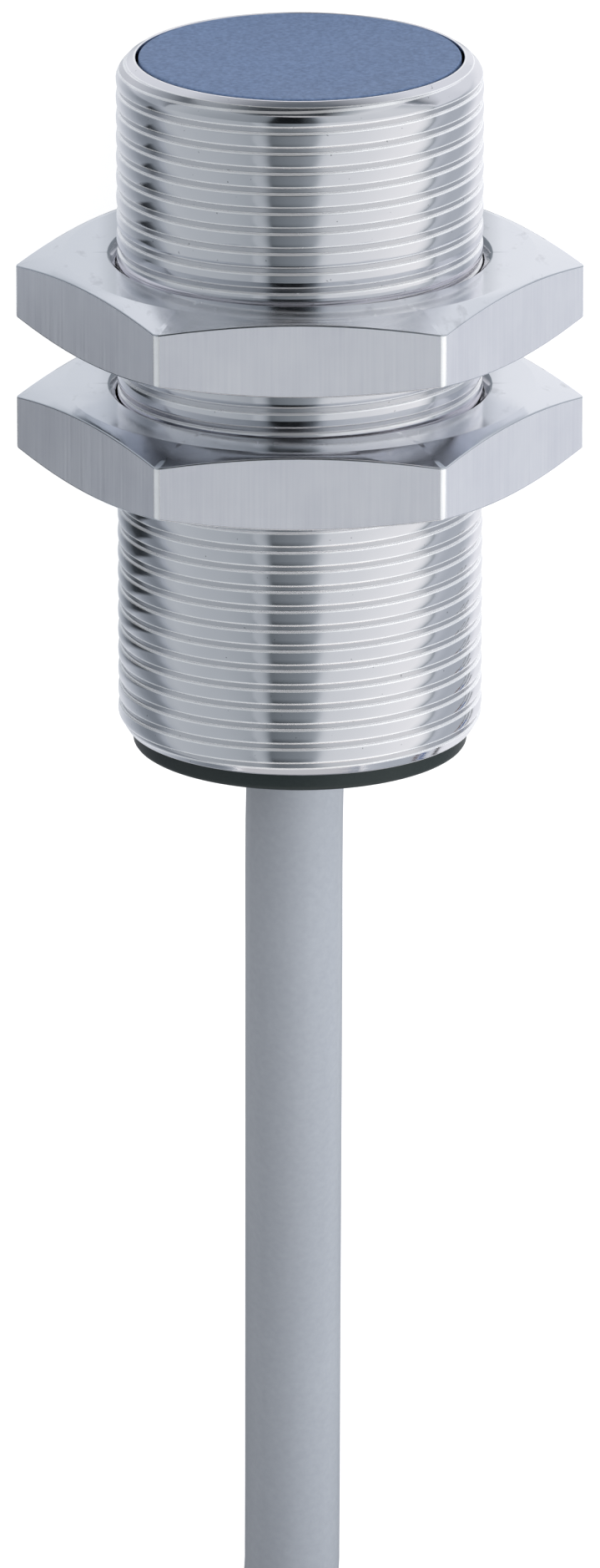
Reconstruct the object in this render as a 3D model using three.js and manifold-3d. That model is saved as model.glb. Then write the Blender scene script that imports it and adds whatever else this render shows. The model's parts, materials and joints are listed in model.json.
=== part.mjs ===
// A cylindrical M18x1 inductive proximity sensor with two lock nuts and a fixed cable. It lies on one flat of
// each nut, on the plane Z = 0, with its sensing face towards -Y and its cable leaving towards +Y.
// Millimetres, +Z up. "Depth" is the distance behind the sensing face, along the sensor's axis.
import * as THREE from 'three';
import { mergeVertices } from 'three/addons/utils/BufferGeometryUtils.js';
import Module from 'manifold-3d';

const wasm = await Module();
wasm.setup();

// Driving dimensions of the sensor
const BODY_LENGTH = 34.8;
const NUT_ACROSS_FLATS = 24;
const NUT_THICKNESS = 3.9;
const NUT_CORNER_ROUND = 0.3;
const NUT_FLAT_RADIUS = 11.5;
const NUT_CHAMFER_SLOPE = 0.283;
const FRONT_NUT_DEPTH = 9.9;
const REAR_NUT_DEPTH = 16.55;
const THREAD_CREST = 8.92;
const NUT_BORE = 9.02;
const COUNTERSINK_RADIUS = 9.35;
const SLEEVE_LENGTH = 33.9;
const SLEEVE_BORE = 8.0;
const FACE_RADIUS = 7.83;
const FACE_THICKNESS = 1.0;
const CUP_BORE = 7.0;
const CUP_DEPTH = 9.0;
const CAP_FLANGE_RADIUS = 8.4;
const AXIS_Z = NUT_ACROSS_FLATS / 2;

// Driving dimensions of the cable and of the hank that its stored length is folded into
const CABLE_RADIUS = 2.4;
const CORE_RADIUS = 0.65;
const HANK_CENTRE_X = -7.8;
const HANK_NEAR_Y = 68.3;
const HANK_STRAIGHT = 53.7;
const HANK_END_RADIUS = 21.7;
const HANK_HEIGHT = 24.6;
const HANK_PINCH = 4;
const STRAP_WIDTH = 10;
const STRAP_THICKNESS = 1.1;

// Facets round a turned piece, and the gap kept between neighbours
const ROUND = 48;
const SMALL_ROUND = 32;
const GAP = 0.3;

const object = new THREE.Group();
const yAt = (depth) => depth - BODY_LENGTH / 2;

const finishes = {
  nickel: { color: 0xd6d6dc, roughness: 0.16, metalness: 1 },
  blue_plastic: { color: 0x6f82a6, roughness: 0.6, metalness: 0 },
  black_plastic: { color: 0x1d2423, roughness: 0.5, metalness: 0 },
  grey_cable: { color: 0x9a9fa6, roughness: 0.55, metalness: 0 },
  seal_rubber: { color: 0x161616, roughness: 0.7, metalness: 0 },
  ferrite: { color: 0x34343a, roughness: 0.7, metalness: 0.2 },
  natural_plastic: { color: 0xd9d2bf, roughness: 0.5, metalness: 0 },
  copper: { color: 0xb8683a, roughness: 0.3, metalness: 1 },
  brass: { color: 0xc8a050, roughness: 0.3, metalness: 1 },
  board: { color: 0x1f5a35, roughness: 0.4, metalness: 0 },
  chip_black: { color: 0x18181a, roughness: 0.5, metalness: 0 },
  capacitor_tan: { color: 0xb88a4a, roughness: 0.5, metalness: 0 },
  resin: { color: 0x3a3a34, roughness: 0.4, metalness: 0 },
  core_brown: { color: 0x5e3a22, roughness: 0.5, metalness: 0 },
  core_blue: { color: 0x2458a8, roughness: 0.5, metalness: 0 },
  core_black: { color: 0x151515, roughness: 0.5, metalness: 0 },
  tin: { color: 0xc9c9c6, roughness: 0.3, metalness: 1 },
  strap_black: { color: 0x1b1b1d, roughness: 0.9, metalness: 0 },
};
const materials = Object.fromEntries(
  Object.entries(finishes).map(([name, look]) => [name, new THREE.MeshStandardMaterial(look)]),
);

// Geometry helpers

function cornersOf(geometry) {
  const bare = geometry.clone();
  bare.deleteAttribute('normal');
  bare.deleteAttribute('uv');
  const merged = mergeVertices(bare, 1e-4);
  const index = merged.index.array;
  const triangles = [];
  for (let i = 0; i < index.length; i += 3) {
    const [a, b, c] = index.slice(i, i + 3);
    if (a !== b && b !== c && c !== a) triangles.push(a, b, c);
  }
  return { positions: merged.attributes.position.array, triangles };
}

function signedVolume(positions, triangles) {
  const corner = (i) => new THREE.Vector3().fromArray(positions, 3 * i);
  let volume = 0;
  for (let i = 0; i < triangles.length; i += 3) {
    const [a, b, c] = triangles.slice(i, i + 3).map(corner);
    volume += a.dot(b.cross(c)) / 6;
  }
  return volume;
}

// The geometry with shared corners, its faces pointing out
function closed(geometry) {
  const { positions, triangles } = cornersOf(geometry);
  if (signedVolume(positions, triangles) < 0) triangles.reverse();
  const result = new THREE.BufferGeometry();
  result.setAttribute('position', new THREE.BufferAttribute(new Float32Array(positions), 3));
  result.setIndex(triangles);
  result.computeVertexNormals();
  return result;
}

function toSolid(geometry) {
  const { positions, triangles } = cornersOf(closed(geometry));
  const mesh = new wasm.Mesh({
    numProp: 3,
    vertProperties: new Float32Array(positions),
    triVerts: new Uint32Array(triangles),
  });
  return new wasm.Manifold(mesh);
}

function fromSolid(solid) {
  const mesh = solid.getMesh();
  const result = new THREE.BufferGeometry();
  result.setAttribute('position', new THREE.BufferAttribute(new Float32Array(mesh.vertProperties), 3));
  result.setIndex(Array.from(mesh.triVerts));
  result.computeVertexNormals();
  return result;
}

const cut = (geometry, ...tools) =>
  fromSolid(tools.reduce((solid, tool) => solid.subtract(toSolid(tool)), toSolid(geometry)));

function add(name, geometry, finish) {
  const mesh = new THREE.Mesh(closed(geometry), materials[finish]);
  mesh.name = name;
  object.add(mesh);
}

// A piece turned about the sensor's axis, from [radius, depth] pairs that start and end on the axis
function turned(profile, facets = ROUND) {
  const points = profile.map(([radius, depth]) => new THREE.Vector2(radius, yAt(depth)));
  return new THREE.LatheGeometry(points, facets).translate(0, 0, AXIS_Z);
}

// The same for a ring, whose section closes on itself
const ring = (profile, facets = ROUND) => turned([...profile, profile[0]], facets);

// A plain ring of rectangular section
const band = (inner, outer, from, to, facets = SMALL_ROUND) =>
  ring([[inner, from], [outer, from], [outer, to], [inner, to]], facets);

// A flat outline in X and Z, extruded along the sensor's axis between two depths
function extrudedAlong(shape, from, to) {
  const geometry = new THREE.ExtrudeGeometry(shape, { depth: to - from, bevelEnabled: false });
  return geometry.rotateX(-Math.PI / 2).translate(0, yAt(from), AXIS_Z);
}

function block(x, y, z, width, length, height) {
  return new THREE.BoxGeometry(width, length, height).translate(x, y, z);
}

function tube(points, radius, sides, steps) {
  const section = new THREE.Shape();
  section.absarc(0, 0, radius, 0, 2 * Math.PI, false);
  const path = new THREE.CatmullRomCurve3(points.map((p) => new THREE.Vector3(...p)));
  return new THREE.ExtrudeGeometry(section, { steps, extrudePath: path, curveSegments: sides / 2 });
}

// The threaded barrel. Its lead-in chamfers are shown, and the thread itself is a plain cylinder at crest size.
function addSleeve() {
  const leadIn = 0.85;
  const frontRim = 8.5;
  const rearRim = 8.6;
  add('threaded_sleeve', ring([
    [SLEEVE_BORE, 0.02], [frontRim, 0.02], [THREAD_CREST, leadIn],
    [THREAD_CREST, SLEEVE_LENGTH - 0.6], [rearRim, SLEEVE_LENGTH], [SLEEVE_BORE, SLEEVE_LENGTH],
  ]), 'nickel');
}

// A hexagon with rounded corners, two of them on the X axis, so that a flat rests on the ground
function hexagon() {
  const shape = new THREE.Shape();
  const corner = NUT_ACROSS_FLATS / 2 / Math.cos(Math.PI / 6);
  const centre = corner - NUT_CORNER_ROUND / Math.cos(Math.PI / 6);
  for (let i = 0; i < 6; i++) {
    const angle = (i * Math.PI) / 3;
    const x = centre * Math.cos(angle);
    const y = centre * Math.sin(angle);
    shape.absarc(x, y, NUT_CORNER_ROUND, angle - Math.PI / 6, angle + Math.PI / 6, false);
  }
  return shape;
}

// A lock nut: a hexagonal plate with a shallow cone on each face, a bore and a countersink at each end
function addNut(name, depth) {
  const reach = 15;
  const drop = (reach - NUT_FLAT_RADIUS) * NUT_CHAMFER_SLOPE;
  const sink = 0.35;
  const far = depth + NUT_THICKNESS;
  const profile = ring([
    [COUNTERSINK_RADIUS, depth], [NUT_FLAT_RADIUS, depth], [reach, depth + drop],
    [reach, far - drop], [NUT_FLAT_RADIUS, far], [COUNTERSINK_RADIUS, far],
    [NUT_BORE, far - sink], [NUT_BORE, depth + sink],
  ]);
  const plate = new THREE.ExtrudeGeometry(hexagon(), {
    depth: NUT_THICKNESS + 2, bevelEnabled: false, curveSegments: 2,
  });
  plate.rotateX(-Math.PI / 2).translate(0, yAt(depth) - 1, AXIS_Z);
  add(name, fromSolid(toSolid(profile).intersect(toSolid(plate))), 'nickel');
}

// The blue cup: its floor is the sensing face, and a groove round its wall holds the O-ring
function addFaceCup() {
  const groove = { floor: 7.35, from: 6.0, to: 7.3 };
  add('sensing_face_cap', turned([
    [0, 0], [FACE_RADIUS - 0.1, 0], [FACE_RADIUS, 0.1], [FACE_RADIUS, groove.from],
    [groove.floor, groove.from], [groove.floor, groove.to], [FACE_RADIUS, groove.to],
    [FACE_RADIUS, CUP_DEPTH], [CUP_BORE, CUP_DEPTH], [CUP_BORE, FACE_THICKNESS], [0, FACE_THICKNESS],
  ]), 'blue_plastic');
  const cord = { centre: 7.67, depth: 6.65, radius: 0.28, sides: 8 };
  const section = Array.from({ length: cord.sides }, (_, i) => {
    const angle = (2 * Math.PI * i) / cord.sides;
    return [cord.centre + cord.radius * Math.cos(angle), cord.depth + cord.radius * Math.sin(angle)];
  });
  add('cap_seal_ring', ring(section), 'seal_rubber');
}

// The oscillator coil in its open pot core, with the brass ring and the plastic holder
const COIL_WIRE = { x: 4, z: 0.75, radius: 0.2, hole: 0.5 };

function wireHoles(from, to) {
  return [-COIL_WIRE.x, COIL_WIRE.x].map((x) => {
    const hole = new THREE.Shape();
    hole.absarc(x, -COIL_WIRE.z, COIL_WIRE.hole, 0, 2 * Math.PI, false);
    return new THREE.ExtrudeGeometry(hole, { depth: to - from, bevelEnabled: false, curveSegments: 4 })
      .rotateX(-Math.PI / 2).translate(0, yAt(from), AXIS_Z);
  });
}

function addCoil() {
  const core = ring([
    [0.8, 1.35], [2.4, 1.35], [2.4, 3.95], [5.6, 3.95], [5.6, 1.35], [6.35, 1.35], [6.35, 5.3], [0.8, 5.3],
  ], SMALL_ROUND);
  add('ferrite_pot_core', cut(core, ...wireHoles(3, 6)), 'ferrite');
  add('coil_bobbin', ring([
    [2.7, 1.5], [5.4, 1.5], [5.4, 1.8], [3.05, 1.8], [3.05, 3.45], [5.4, 3.45], [5.4, 3.75], [2.7, 3.75],
  ], SMALL_ROUND), 'natural_plastic');
  add('coil_winding', band(3.15, 5.2, 1.9, 3.35), 'copper');
  add('shield_ring', band(6.48, 6.82, 1.3, 5.6), 'brass');
  const holder = turned([[0, 5.6], [6.3, 5.6], [6.3, 5.9], [6.85, 5.9], [6.85, 7.1], [0, 7.1]], SMALL_ROUND);
  add('core_holder', cut(holder, ...wireHoles(5, 8)), 'natural_plastic');
  [['coil_lead_start', -COIL_WIRE.x], ['coil_lead_finish', COIL_WIRE.x]].forEach(([name, x]) => {
    const z = AXIS_Z + COIL_WIRE.z;
    add(name, tube([[x, yAt(3.85), z], [x, yAt(6), z], [x, yAt(8.6), z]], COIL_WIRE.radius, 8, 4), 'copper');
  });
}

// The circuit board lies in the plane of the axis, with its components on both sides
const BOARD = { width: 13.2, from: 7.5, to: 23, thickness: 0.8 };

function addBoard() {
  const length = BOARD.to - BOARD.from;
  const board = block(0, yAt(BOARD.from + length / 2), AXIS_Z, BOARD.width, length, BOARD.thickness);
  const notch = [-1, 1].map((side) =>
    block((side * BOARD.width) / 2, yAt(15), AXIS_Z, 1.6, 2, 3));
  add('circuit_board', cut(board, ...notch), 'board');
}

// A component body on the board's top (side 1) or bottom (side -1), with its row of pins on each long edge
function addChip({ name, x, depth, side, size, pins, finish }) {
  const [width, length, height] = size;
  const foot = AXIS_Z + side * (BOARD.thickness / 2 + 0.1);
  const body = block(x, yAt(depth), foot + (side * height) / 2, width, length, height);
  let solid = toSolid(body);
  const pitch = length / Math.max(pins, 1);
  for (let i = 0; i < pins; i++) {
    const y = yAt(depth) - length / 2 + pitch * (i + 0.5);
    const pin = block(x, y, foot + side * 0.2, width + 1.2, pitch * 0.4, 0.3);
    solid = solid.add(toSolid(pin));
  }
  add(name, fromSolid(solid), finish);
}

const COMPONENTS = [
  { name: 'oscillator_chip', x: 0, depth: 12.2, side: 1, size: [3.9, 4.9, 1.5], pins: 4, finish: 'chip_black' },
  { name: 'output_transistor', x: 0, depth: 17.8, side: 1, size: [1.6, 2.9, 1.1], pins: 2, finish: 'chip_black' },
  { name: 'smoothing_capacitor', x: -4, depth: 18, side: 1, size: [1.6, 3.2, 1.6], pins: 0, finish: 'capacitor_tan' },
  { name: 'filter_capacitor', x: 4, depth: 17.6, side: 1, size: [1.25, 2, 1.2], pins: 0, finish: 'capacitor_tan' },
  { name: 'tuning_resistor', x: 4.4, depth: 12, side: 1, size: [1.25, 2, 0.6], pins: 0, finish: 'chip_black' },
  { name: 'load_resistor', x: -2.5, depth: 12, side: -1, size: [1.6, 3.2, 0.6], pins: 0, finish: 'chip_black' },
  { name: 'polarity_diode', x: 2.5, depth: 12, side: -1, size: [1.6, 3.6, 1.2], pins: 1, finish: 'chip_black' },
  { name: 'surge_diode', x: 0, depth: 18, side: -1, size: [2.6, 4.2, 2.1], pins: 1, finish: 'chip_black' },
];

// The black end cap, the soft seal in it, the crimp ring on the cable and the resin that locks it
function addRearEnd() {
  const edge = 0.25;
  const hole = 3.75;
  const plug = 7.75;
  const flange = SLEEVE_LENGTH + 0.06;
  add('rear_end_cap', ring([
    [hole, 31.5], [plug, 31.5], [plug, flange], [CAP_FLANGE_RADIUS, flange],
    [CAP_FLANGE_RADIUS, BODY_LENGTH - edge], [CAP_FLANGE_RADIUS - edge, BODY_LENGTH], [hole, BODY_LENGTH],
  ]), 'black_plastic');
  add('cable_grommet', band(2.6, 3.6, 31.8, BODY_LENGTH - 0.1), 'seal_rubber');
  add('rear_potting_plug', band(2.7, 7.7, 27.6, 31.2), 'resin');
  add('cable_crimp_ring', band(2.6, 3.3, 25.6, 27.3), 'brass');
}

// The cable's end inside the barrel and its three cores, which run to pads on the board
const CORES = [
  { colour: 'brown', x: -1.1, z: 0, pad: -4.2 },
  { colour: 'blue', x: 0, z: 0.9, pad: 0 },
  { colour: 'black', x: 1.1, z: 0, pad: 4.2 },
];

function addCableEnd() {
  const inside = [[0, yAt(25.3), AXIS_Z], [0, yAt(30), AXIS_Z], [0, yAt(BODY_LENGTH - 0.1), AXIS_Z]];
  add('cable_inner_end', tube(inside, CABLE_RADIUS, 12, 6), 'grey_cable');
  const padZ = AXIS_Z + BOARD.thickness / 2 + CORE_RADIUS + 0.1;
  CORES.forEach(({ colour, x, z, pad }) => {
    const route = [
      [x * 1.2, yAt(25), AXIS_Z + z], [x * 1.4, yAt(24.4), AXIS_Z + z + 0.2],
      [pad * 0.8, yAt(22.6), padZ + 0.15], [pad, yAt(20.6), padZ],
    ];
    add(`inner_wire_${colour}`, tube(route, CORE_RADIUS * 0.8, 8, 10), `core_${colour}`);
  });
}

// The stored cable: a hank of runs beside each other, folded at both ends and pinched a little at the strap
const HANK_MIDDLE_Y = HANK_NEAR_Y + HANK_END_RADIUS + HANK_STRAIGHT / 2;

function hankHalfWidth(y) {
  const t = (y - HANK_MIDDLE_Y) / HANK_STRAIGHT;
  return HANK_END_RADIUS - (HANK_PINCH * (1 + Math.cos(2 * Math.PI * t))) / 2;
}

function hankOutline() {
  const steps = 10;
  const nearY = HANK_MIDDLE_Y - HANK_STRAIGHT / 2;
  const farY = HANK_MIDDLE_Y + HANK_STRAIGHT / 2;
  const shape = new THREE.Shape();
  shape.absarc(HANK_CENTRE_X, farY, HANK_END_RADIUS, 0, Math.PI, false);
  for (let i = 1; i < steps; i++) {
    const y = farY - (HANK_STRAIGHT * i) / steps;
    shape.lineTo(HANK_CENTRE_X - hankHalfWidth(y), y);
  }
  shape.absarc(HANK_CENTRE_X, nearY, HANK_END_RADIUS, Math.PI, 2 * Math.PI, false);
  for (let i = 1; i < steps; i++) {
    const y = nearY + (HANK_STRAIGHT * i) / steps;
    shape.lineTo(HANK_CENTRE_X + hankHalfWidth(y), y);
  }
  return shape;
}

function addHank() {
  const hank = new THREE.ExtrudeGeometry(hankOutline(), {
    depth: HANK_HEIGHT, bevelEnabled: false, curveSegments: 12,
  });
  const slotHeight = STRAP_THICKNESS + 2 * GAP;
  const slot = block(HANK_CENTRE_X, HANK_MIDDLE_Y, 0, 60, STRAP_WIDTH + 2 * GAP, 2 * slotHeight);
  add('cable_hank', cut(hank, slot), 'grey_cable');
}

function roundedRectangle(halfWidth, low, high, corner) {
  const shape = new THREE.Shape();
  const [left, right] = [HANK_CENTRE_X - halfWidth, HANK_CENTRE_X + halfWidth];
  shape.absarc(right - corner, low + corner, corner, -Math.PI / 2, 0, false);
  shape.absarc(right - corner, high - corner, corner, 0, Math.PI / 2, false);
  shape.absarc(left + corner, high - corner, corner, Math.PI / 2, Math.PI, false);
  shape.absarc(left + corner, low + corner, corner, Math.PI, 1.5 * Math.PI, false);
  return shape;
}

function addStrap() {
  const clear = 1.3;
  const halfWidth = hankHalfWidth(HANK_MIDDLE_Y - STRAP_WIDTH / 2) + GAP;
  const top = HANK_HEIGHT + clear;
  const outline = roundedRectangle(halfWidth + STRAP_THICKNESS, 0, top + STRAP_THICKNESS, 2.6);
  outline.holes.push(roundedRectangle(halfWidth, STRAP_THICKNESS, top, 1.5));
  const strap = new THREE.ExtrudeGeometry(outline, {
    depth: STRAP_WIDTH, bevelEnabled: false, curveSegments: 4,
  });
  strap.rotateX(Math.PI / 2).translate(0, HANK_MIDDLE_Y + STRAP_WIDTH / 2, 0);
  add('hank_strap', strap, 'strap_black');
}

// The cable from the end cap down to the ground and into the lowest outer run of the hank
const RUN_ROUTE = [
  [0, 17.6, 12], [0, 20.5, 12], [0, 24, 11.95], [0, 28, 11.55], [0, 32, 10.7], [0, 36, 9.45], [0, 40, 8],
  [0, 44, 6.5], [0, 48, 5.1], [0, 52, 3.95], [0, 56, 3.05], [0, 60, 2.55], [0, 63.5, 2.42],
  [0.12, 65.8, 2.42], [0.42, 67.6, 2.42], [0.62, 68.4, 2.42],
];

// Its other end leaves the hank's outer left run, comes down to the ground and lies beside the first stretch
const TAIL_ROUTE = [
  [-27.1, 75.4, 4.6], [-27.1, 73, 3.9], [-27.1, 70, 3.1], [-27.1, 67, 2.6], [-27.1, 63, 2.42],
];

// The three stripped cores, each with a crimped ferrule on its last stretch
const LEADS = [
  { colour: 'brown', route: [
    [-28.2, 62.6, 2.0], [-28.5, 58, 1.2], [-29.3, 52, 0.72], [-30.4, 44, 0.7], [-30.6, 36, 0.7],
    [-29.8, 29, 0.7], [-28.9, 22.6, 0.7]] },
  { colour: 'blue', route: [
    [-27.1, 62.6, 3.4], [-26.9, 57, 2.2], [-26.2, 50, 0.9], [-25.6, 43, 0.7], [-25.9, 36, 0.7],
    [-25.7, 28, 0.7], [-24.9, 21.4, 0.7]] },
  { colour: 'black', route: [
    [-26.0, 62.6, 2.0], [-25.3, 58, 1.2], [-23.4, 52, 0.72], [-21.2, 45, 0.7], [-20.3, 38, 0.7],
    [-20.7, 31, 0.7], [-21.0, 24.6, 0.7]] },
];
const FERRULE = { radius: 0.5, length: 6 };

function addFarEnd() {
  add('cable_tail', tube(TAIL_ROUTE, CABLE_RADIUS, 12, 8), 'grey_cable');
  LEADS.forEach(({ colour, route }) => {
    add(`lead_${colour}`, tube(route, CORE_RADIUS, 8, 18), `core_${colour}`);
    const [beforeLast, last] = route.slice(-2).map((p) => new THREE.Vector3(...p));
    const along = last.clone().sub(beforeLast).normalize();
    const start = last.clone().addScaledVector(along, GAP);
    const end = start.clone().addScaledVector(along, FERRULE.length);
    const middle = start.clone().lerp(end, 0.5);
    const centreline = [start, middle, end].map((p) => p.toArray());
    add(`ferrule_${colour}`, tube(centreline, FERRULE.radius, 8, 2), 'tin');
  });
}

addSleeve();
addNut('front_nut', FRONT_NUT_DEPTH);
addNut('rear_nut', REAR_NUT_DEPTH);
addFaceCup();
addCoil();
addBoard();
COMPONENTS.forEach(addChip);
addRearEnd();
addCableEnd();
add('cable_run', tube(RUN_ROUTE, CABLE_RADIUS, 12, 20), 'grey_cable');
addHank();
addStrap();
addFarEnd();

export default object;
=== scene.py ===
"""A cylindrical M18 inductive sensor with two lock nuts and a fixed cable, lying on one flat of each nut.

The sensing face looks towards -Y and the cable leaves towards +Y. Shapes are worked out in millimetres and
written to Blender in metres. "Depth" is the distance behind the sensing face, along the sensor's axis.
"""
import json
import math

import bmesh
import bpy
import numpy as np
from mathutils import Matrix, Vector


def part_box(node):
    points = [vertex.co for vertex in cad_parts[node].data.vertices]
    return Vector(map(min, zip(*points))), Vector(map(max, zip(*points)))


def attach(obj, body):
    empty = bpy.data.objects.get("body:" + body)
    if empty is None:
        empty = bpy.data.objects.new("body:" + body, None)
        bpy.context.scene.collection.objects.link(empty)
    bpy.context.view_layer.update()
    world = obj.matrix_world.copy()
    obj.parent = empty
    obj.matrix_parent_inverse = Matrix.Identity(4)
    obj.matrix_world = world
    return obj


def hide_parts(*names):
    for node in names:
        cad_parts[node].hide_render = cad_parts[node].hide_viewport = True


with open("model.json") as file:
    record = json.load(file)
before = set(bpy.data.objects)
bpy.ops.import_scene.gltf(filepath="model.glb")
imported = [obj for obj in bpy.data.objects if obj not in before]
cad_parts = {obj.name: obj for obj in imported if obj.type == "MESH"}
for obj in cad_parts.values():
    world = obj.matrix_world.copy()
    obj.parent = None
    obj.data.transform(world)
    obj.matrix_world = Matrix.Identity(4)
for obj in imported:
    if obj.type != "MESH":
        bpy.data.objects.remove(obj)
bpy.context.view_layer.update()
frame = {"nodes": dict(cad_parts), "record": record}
MM = 0.001


def box_mm(node):
    """Lowest and highest corner of a CAD node, in millimetres."""
    return tuple(np.array(corner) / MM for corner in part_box(node))


# Places read from the frame
CUP_LOW, CUP_HIGH = box_mm("sensing_face_cap")
SLEEVE_LOW, SLEEVE_HIGH = box_mm("threaded_sleeve")
CAP_LOW, CAP_HIGH = box_mm("rear_end_cap")
GROMMET_LOW, GROMMET_HIGH = box_mm("cable_grommet")
HANK_LOW, HANK_HIGH = box_mm("cable_hank")
STRAP_LOW, STRAP_HIGH = box_mm("hank_strap")
AXIS_Z = (CUP_LOW[2] + CUP_HIGH[2]) / 2
FACE_Y = CUP_LOW[1]
FACE_RADIUS = (CUP_HIGH[0] - CUP_LOW[0]) / 2

# Camera. Its distance is in metres
VIEW_DISTANCE = 0.7
VIEW_TILT = math.radians(18.45)
VIEW_AIM_DEPTH = 37.13
VIEW_HEIGHT_MM = 77.1
SENSOR_MM = 36

# Thread
PITCH = 1.0
CREST = (SLEEVE_HIGH[0] - SLEEVE_LOW[0]) / 2
# How far the crest's middle stands above its edges, and the groove's half width with its flank
CREST_SAG = 0.09
GROOVE_HALF = 0.17
FLANK_WIDTH = 0.055
ROOT = CREST - 0.15
SHOULDER = 0.012
# Depth at which a groove crosses the barrel's top, and how far the nuts' thread stands off the barrel's
THREAD_START = 0.28
THREAD_CLEARANCE = 0.05
# The gaps from the thread's first and last row to the front rim's rows and the rear end
THREAD_GAPS = (0.02, 0.1)
# Places along one turn, from one groove to the next, where the mesh has a row
THREAD_SAMPLES = np.array([
    0, 0.08, 0.11, 0.125, 0.145, 0.16, 0.175, 0.19, 0.22, 0.3, 0.4, 0.5, 0.6, 0.7, 0.78, 0.81, 0.825, 0.84,
    0.855, 0.875, 0.89, 0.92])
# Distances from the groove, in turns: the edge that gets a painted highlight, and the floor that gets painted
# shade
HIGHLIGHT_EDGE = (0.11, 0.215)
GROOVE_FLOOR = 0.12
BARREL_COLUMNS = 112

# Barrel
BORE = 7.97
# (radius, depth) from the bore out over the front rim, which of its rows are painted highlights, and on down
# the lead-in
INNER_RIM = [
    (7.97, 0.14), (7.97, 0.04), (7.99, 0.02), (8.07, 0.02), (8.1, 0.035), (8.4, 0.23), (8.46, 0.265)]
RIM_HIGHLIT = (2, 5)
LEAD_IN = [(8.475, 0.285), (8.76, 0.6), (8.84, 0.74), (8.91, 0.92), (8.98, 1.1)]
CONE_BLEND = 0.03
# The rear cone's end and slope, and its edge as (radius taken off, distance before the end)
REAR_RIM = 8.54
REAR_SLOPE = 0.62
REAR_EDGE = [(0.03, 0.05), (0.08, 0.01), (0.13, 0)]

# Nuts
ACROSS_FLATS = 24
NUT_CORNER = ACROSS_FLATS / 2 / math.cos(math.pi / 6)
NUT_CORNER_ROUND = 0.36
NUT_FLAT_RADIUS = 11.5
NUT_SLOPE = 0.283
NUT_EDGE = 0.06
NUT_COLUMNS_A_FLAT = 11
BORE_INSET = 0.04
COUNTERSINK = 9.35
COUNTERSINK_SLOPE = 1.1

# Face cup and end cap. CAP_TRIM is how much the cap's edge is drawn in from the CAD flange
CUP_BORE = 7.0
CUP_FLOOR = 1.0
CAP_TRIM = 0.2
CAP_SPIGOT = 7.75
CAP_HOLE = 3.7
CAP_COLLAR = (4.3, 4.6)
CAP_GAP = 0.04
CAP_RECESS = 0.2
SEAL_BORE = 2.5

# Cable
CABLE_DIAMETER = 4.8
CORE_DIAMETER = 1.3
HANK_PITCH = 4.9
HANK_INNER = 14.4
HANK_OUTER = HANK_INNER + HANK_PITCH
HANK_LAYERS = 5
HANK_PINCH = 4
HANK_LIFT = 1.3
HANK_X = (HANK_LOW[0] + HANK_HIGH[0]) / 2
HANK_NEAR = HANK_LOW[1] + (HANK_HIGH[0] - HANK_LOW[0]) / 2
HANK_FAR = HANK_HIGH[1] - (HANK_HIGH[0] - HANK_LOW[0]) / 2
GROUND_Z = 2.42
ENTRY_BEND = 16
STRAP_THICKNESS = 1.0
STRAP_WIDTH = 10.0
STRAP_LIFT = 0.6
STRAP_CORNER = 2.4
STRAP_EDGE = 0.25
# Across the hank from its middle: the strap's hidden start, and the place where its free end begins to climb
STRAP_START = -6
STRAP_CLIMB = -8

# The cable's stretch from the end cap down to the ground, as in the CAD source
RUN_ROUTE = [
    (0, 17.4, 12), (0.24, 19.4, 12), (0.3, 24, 11.95), (0.3, 28, 11.55), (0.31, 32, 10.7), (0.32, 36, 9.45),
    (0.33, 40, 8), (0.34, 44, 6.5), (0.35, 48, 5.1), (0.36, 52, 3.95), (0.37, 56, 3.05), (0.38, 60, 2.55),
    (0.4, 63.5, 2.42),
]
# Its other end, from the hank's outer left run down to the ground, in line with that run
TAIL_ROUTE = [
    (-27.1, 86, 7.0), (-27.1, 82, 6.3), (-27.1, 78.5, 5.4), (-27.1, 75.4, 4.6), (-27.1, 73, 3.9),
    (-27.1, 70, 3.1), (-27.1, 67, 2.6), (-27.1, 63, 2.42),
]
LEADS = {
    "brown": [
        (-28.1, 64.5, 2.3), (-28.2, 62.6, 2.0), (-28.5, 58, 1.2), (-29.3, 52, 0.72), (-30.4, 44, 0.7),
        (-30.6, 36, 0.7), (-29.8, 29, 0.7), (-28.9, 22.6, 0.7)],
    "blue": [
        (-27.1, 64.5, 3.5), (-27.1, 62.6, 3.4), (-26.9, 57, 2.2), (-26.2, 50, 0.9), (-25.6, 43, 0.7),
        (-25.9, 36, 0.7), (-25.7, 28, 0.7), (-24.9, 21.4, 0.7)],
    "black": [
        (-26.1, 64.5, 2.3), (-26.0, 62.6, 2.0), (-25.3, 58, 1.2), (-23.4, 52, 0.72), (-21.2, 45, 0.7),
        (-20.3, 38, 0.7), (-20.7, 31, 0.7), (-21.0, 24.6, 0.7)],
}

# Ferrules: (distance past the insulation's end, width as a share of FERRULE_DIAMETER), from mouth to tip
FERRULE_PROFILE = [
    (-0.6, 1.0), (-0.55, 1.5), (0.0, 1.55), (0.35, 1.4), (0.6, 1.06), (1.2, 1.04), (1.3, 0.94), (2.2, 0.94),
    (2.3, 1.04), (3.2, 1.04), (3.3, 0.94), (4.2, 0.94), (4.3, 1.04), (6.0, 1.02), (6.25, 0.8), (6.35, 0.3),
]
FERRULE_DIAMETER = 1.0

# Studio cards, which only reflections see. Their places are in metres
CARD_DISTANCE = 0.42
CARD_LIFT = 0.0004
# The share by which red, green and blue change as a level goes from 1 to 0, and the ground cards' extra blue
CARD_COOLNESS = (-0.19, -0.05, 0.07)
GROUND_BLUE = 1.03
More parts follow.
